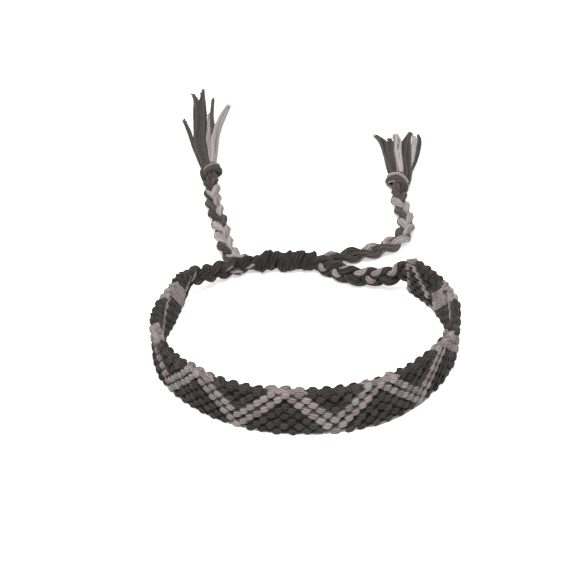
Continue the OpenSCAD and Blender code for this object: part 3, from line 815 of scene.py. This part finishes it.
outer, inner = {DARK: [], LIGHT: []}, {DARK: [], LIGHT: []}
for i in columns_within(1.2, 0.9):
    for j in range(i % 2, ROWS, 2):
        for found, look in ((outer, outer_knot), (inner, inner_knot)):
            light, row = look(i, j)
            found[LIGHT if light else DARK].append(row)
print("light and dark knots outside:", len(outer[LIGHT]), len(outer[DARK]))

# %% [markdown]
# ## Laying the knots
# The model's points are sized and tilted for all knots at once and then placed on the band's plan, so
# every knot bends with the band. Knots of one face and colour make one piece.


# %% Knots
def place_knots(model, knots):
    points, quads, tris, grain = model
    run, high, tilt, wide, tall, face, shade, depth = np.array(knots).T[:, :, None]
    c, s = np.cos(np.radians(tilt)), np.sin(np.radians(tilt))
    x, y = points[None, :, 0] * wide, points[None, :, 1] * tall
    along, up, out = x * c - y * s, x * s + y * c, face * (depth + points[None, :, 2])
    placed = band_place(run + along, high + up, out)
    n, m = placed.shape[:2]
    step = (np.arange(n) * m)[:, None, None]
    faces = []
    for corners in (quads[None] + step, tris[None] + step):
        outward = face[:, 0] > 0
        corners[outward] = corners[outward][:, :, ::-1]
        faces.append(corners.reshape(-1, corners.shape[2]))
    grains = np.repeat(grain[None], n, axis=0)
    grains[:, :, 0] += rng.uniform(0, ANY_RUN, n)[:, None]
    return placed.reshape(-1, 3), *faces, grains.reshape(-1, 3), np.repeat(shade.ravel(), m), 0


for name, kind, rows, model in (("band_front_dark_knots", DARK, outer, front_knot),
                                ("band_front_pale_knots", LIGHT, outer, front_knot),
                                ("band_back_dark_knots", DARK, inner, flat_knot),
                                ("band_back_pale_knots", LIGHT, inner, flat_knot)):
    make_piece(name, [place_knots(model, rows[kind])], "band", [knot_yarns[kind]])

# %% [markdown]
# ## The core
# Under the knots run the carrying yarns. They only show as darkness between the knots, so they are one
# flat strip with closed ends, all of the charcoal yarn at a dark tone: the real carrying yarns, with painted
# shade in the gaps between the knots.

# %% Core
# The core's dark charcoal tone is painted shade in the gaps between the knots, over the real carrying yarns.
CORE_STEP, CORE_PAINTED_SHADE = 0.6, 0.2
CORE_OUTLINE = np.array([(0.45, 0.8), (0.5, 5.5), (0.45, 10.2), (0.0, 10.45),
                         (-0.45, 10.2), (-0.5, 5.5), (-0.45, 0.8), (0.0, 0.55)])  # out and high


def core_skin():
    runs = np.arange(RUN_A, RUN_B, CORE_STEP)
    out, high = CORE_OUTLINE.T
    n, k = len(runs), len(out)
    points = np.vstack([band_place(np.full(k, run), high, out) for run in runs])
    i, q = np.meshgrid(np.arange(n - 1), np.arange(k), indexing="ij")
    a, b = (i * k + q).ravel(), (i * k + (q + 1) % k).ravel()
    quads = np.stack([a, a + k, b + k, b], axis=1)
    last = (n - 1) * k
    start = [(0, m, m + 1) for m in range(1, k - 1)]
    end = [(last, last + m + 1, last + m) for m in range(1, k - 1)]
    around = np.tile(np.arange(k), n)
    grain = np.stack([np.repeat(runs, k), np.cos(around), np.sin(around)], axis=1)
    return points, quads, np.array(start + end), grain, np.full(len(points), CORE_PAINTED_SHADE), DARK


make_piece("band_core", [core_skin()], "band", knot_yarns)

# %% [markdown]
# ## The edges
# At both edges the yarns turn over from one face to the other in short slanted loops. Where they are
# light, and all along the lower edge, they look like a thin rope. Two pale threads show below the lower
# edge, in front and a little to the right.

# %% Edge loops
LOOP_ANGLES = np.linspace(-15, 195, 9)  # from the outer face over the edge to the inner one
LOOP_RADIUS = 0.4 * np.array([0.7, 0.9, 1, 1, 1, 1, 1, 0.9, 0.7])
LOOP_OUT, LOOP_UP = 0.72, 0.24
ROPE_SLANT, PLAIN_SLANT = 1.5, 0.8  # in columns
THREADS = ((14.0, 34.0), (1.2, 4.6))  # from run to run
THREAD_RADIUS, THREAD_OUT, THREAD_HIGH = 0.3, 0.95, 0.36


def edge_loop(run, pitch, shift, slant, edge, turn, dip, light):
    line = []
    for a in LOOP_ANGLES:
        ca, sa = math.cos(math.radians(a)), math.sin(math.radians(a))
        place = run + (shift + (0.5 - a / 180) * slant) * pitch
        line.append(band_place(np.array(place), np.array(edge + turn * (LOOP_UP * sa - dip)),
                               np.array(LOOP_OUT * ca)))
    return yarn_skin(np.array(line), LOOP_RADIUS, LIGHT if light else DARK, sides=7, twist=0.5, flat=0.9)


def loops_of(i, top):
    """The two or three loops of one column at one edge."""
    c = abs(from_peak(i))
    knotted = (i % 2 == 0) == top
    light = (c <= 2 if top else c >= 5) and (knotted or (c <= 1 if top else c >= 6))
    rope = light or not top
    inset = (0.6 if knotted else 0.68 if rope else 0.86) + rng.normal(0, 0.04)
    edge, turn = (BAND_HIGH - inset, 1) if top else (inset * 0.95, -1)
    return [edge_loop(run_of(i), pitch_of(i), shift, ROPE_SLANT if rope else PLAIN_SLANT, edge, turn,
                      0 if rope else 0.3 * abs(shift), light)
            for shift in ((-0.33, 0.33) if rope else (-0.45, 0.0, 0.45))]


def thread(first, last):
    runs = np.arange(first, last, 0.5)
    line = np.stack([band_place(r, np.array(THREAD_HIGH + 0.08 * math.sin(r)), np.array(THREAD_OUT))
                     for r in runs])
    ends = smooth((runs - first + 0.6) / 3) * smooth((last + 0.2 - runs) / 3)
    return yarn_skin(line, THREAD_RADIUS * ends + 0.04, LIGHT, sides=7)


skins = [skin for i in columns_within(0.8, 0.4) for top in (True, False) for skin in loops_of(i, top)]
skins += [thread(first, last) for first, last in THREADS]
make_piece("band_edges", skins, "band", knot_yarns)

# %% [markdown]
# ## The ties
# The ties are braids like the tails, but pulled tight, so their bumps are closer. They leave the ends of
# the band standing on edge, come down to the surface, and run through the sliding knot side by side,
# half a turn round each other.

# %% Ties
TIE_BUMP = 4.6
TIE_HIGH = 5.5  # where a tie's middle leaves the band
ON_EDGE = 90  # degrees
IN_KNOT = 0.15  # what is left of the strands' swing inside the sliding knot
tie_left_way = [(-26.9, 25.2, 4.6), (-24.5, 27.8, 3.8), (-22, 30.4, 3.1), (-19.4, 32.0, 2.75),
                (-16.6, 33.6, 2.7)]
tie_right_way = [(22.8, 25.8, 4.1), (20.1, 26.7, 3.4), (17.5, 27.4, 2.9), (14.8, 27.8, 2.7),
                 (12.2, 28.6, 2.65), (9.6, 30.4, 2.65), (6.6, 32.8, 2.65)]


def in_knot(t, sign):
    q = math.radians(-90 + 180 * t)
    return (KNOT_X + t * KNOT_LONG, KNOT_Y + sign * math.sin(q), KNOT_Z + sign * math.cos(q))


def tie_route(band_run, way, sign):
    starts = np.array([1.6, -1.6]) * sign + band_run
    first = band_place(starts, np.full(2, TIE_HIGH), np.zeros(2))
    inside = [in_knot(t, sign) for t in np.linspace(0, 1, 5)[::sign]]
    return evenly(spline([*first, *way, *inside]), 0.4)


for name, band_run, way, sign, turned, mix, word, below in (
        ("tie_left", RUN_A, tie_left_way, 1, 75, "LDDDDD", "lDDDDDlLDLDDDDDDDDDDDDDD", 0),
        ("tie_right", RUN_B, tie_right_way, -1, 115, "LLDDDDD", "lDLDLLLDlLDLDDDDDDDDDDDDD", 1)):
    route = tie_route(band_run, way, sign)
    run = route[1]
    mouth = run[-1] - KNOT_LONG
    roll = ON_EDGE + (turned - ON_EDGE) * smooth(run / (mouth * 0.6))
    free = IN_KNOT + (1 - IN_KNOT) * smooth((mouth + 1.5 - run) / 4)
    skins = braid(route, TIE_BUMP, roll, free, mix, word, reach=0.36, below=below)
    make_piece(name + "_braid", skins, name, tie_yarns)

# %% [markdown]
# ## The sliding knot
# One long yarn is wound tightly over both ties. Its turns lie side by side in five groups, which is
# what makes the knot look ribbed, and its end stands out a little below.

# %% Sliding knot
WOUND_TURNS, WOUND_YARNS, WOUND_YARN = 5, 6, 0.55  # groups, yarns in each, and a yarn's radius
KNOT_ROOM = 0.8  # between the knot's end and the first turn, mm
WOUND_REACH, WOUND_SWELL = 1.62, 0.68  # a yarn's distance from the middle, and how much a group bulges
DIAGONAL = 1.9  # how far the front of a turn lies from its back, along the knot


def wound_yarn(m):
    t = np.linspace(0, 1, WOUND_TURNS * 24 + 1)
    angle = 2 * math.pi * WOUND_TURNS * t - math.pi / 2
    wound = KNOT_LONG - 2 * KNOT_ROOM
    part = 2 * m / (WOUND_YARNS - 1) - 1
    swell = WOUND_SWELL * (1 - part * part) * (1 + 0.4 * np.sin(0.37 * angle + 1.3))
    wander = 0.24 * np.sin(0.83 * angle + 2.1 * m) + 0.45 * np.sin(0.46 * angle + 0.5)
    x = KNOT_ROOM + wound * (t + 0.4 * part / WOUND_TURNS) + DIAGONAL * np.sin(angle + 0.7) + wander
    x = KNOT_X + np.clip(x, 0.2, KNOT_LONG - 0.2)
    reach = WOUND_REACH + swell + 0.16 * np.sin(1.3 * angle + 1.7 * m)
    line = np.stack([x, KNOT_Y + reach * np.cos(angle), KNOT_Z + reach * np.sin(angle)], axis=1)
    return yarn_skin(line, WOUND_YARN, 0, twist=0.8)


corner = np.array([KNOT_X, KNOT_Y, KNOT_Z])
stub = spline(corner + [(3.6, -1.4, -0.6), (3.2, -2.6, -1.0), (2.6, -3.2, -1.6)], 4)
skins = [wound_yarn(m) for m in range(WOUND_YARNS)]
skins.append(yarn_skin(stub, np.linspace(0.9, 0.35, len(stub)), 0))
make_piece("sliding_knot_wraps", skins, "sliding_knot", [brown_yarn])

# %% [markdown]
# ## Floor and light
# A white floor and soft lights, as on a small photo table: one wide light above, a weaker one in front
# on the right, and a bright pale surround that fills the shadows. The floor glows a little, so that it
# stays as white as the photo's ground, and it is wide, so that no view shows its edge.

# %% Floor, world and lights
FLOOR_SIZE = 30.0  # m
FLOOR_LOOK = (("Base Color", (0.92, 0.92, 0.92, 1)), ("Roughness", 0.9),
              ("Emission Color", (1.0, 1.0, 1.0, 1)), ("Emission Strength", 0.45))
SURROUND = 0.62
# A light's entry holds its place, its turn, its size in m and its power in W.
LIGHTS = (("light_above", (-0.12, -0.10, 0.75), (-0.12, -0.16, 0), 0.55, 8.0),
          ("light_front", (0.25, -0.6, 0.4), (0.95, 0.35, 0), 0.5, 1.2))
bpy.ops.object.select_all(action="DESELECT")
bpy.ops.mesh.primitive_plane_add(size=FLOOR_SIZE, location=(0, 0, 0))
floor = bpy.context.object
floor.name = "floor"
white = bpy.data.materials.new("white_table")
white.use_nodes = True
for socket, value in FLOOR_LOOK:
    white.node_tree.nodes["Principled BSDF"].inputs[socket].default_value = value
floor.data.materials.append(white)
world = bpy.data.worlds.new("studio")
bpy.context.scene.world = world
world.use_nodes = True
world.node_tree.nodes["Background"].inputs["Color"].default_value = (1.0, 1.0, 1.0, 1)
world.node_tree.nodes["Background"].inputs["Strength"].default_value = SURROUND
for name, place, turn, size, power in LIGHTS:
    bpy.ops.object.light_add(type="AREA", location=place, rotation=turn)
    lamp = bpy.context.object
    lamp.name = name
    lamp.data.size, lamp.data.energy = size, power
bpy.context.scene.view_settings.view_transform = "Standard"
bpy.context.scene.view_settings.look = "None"
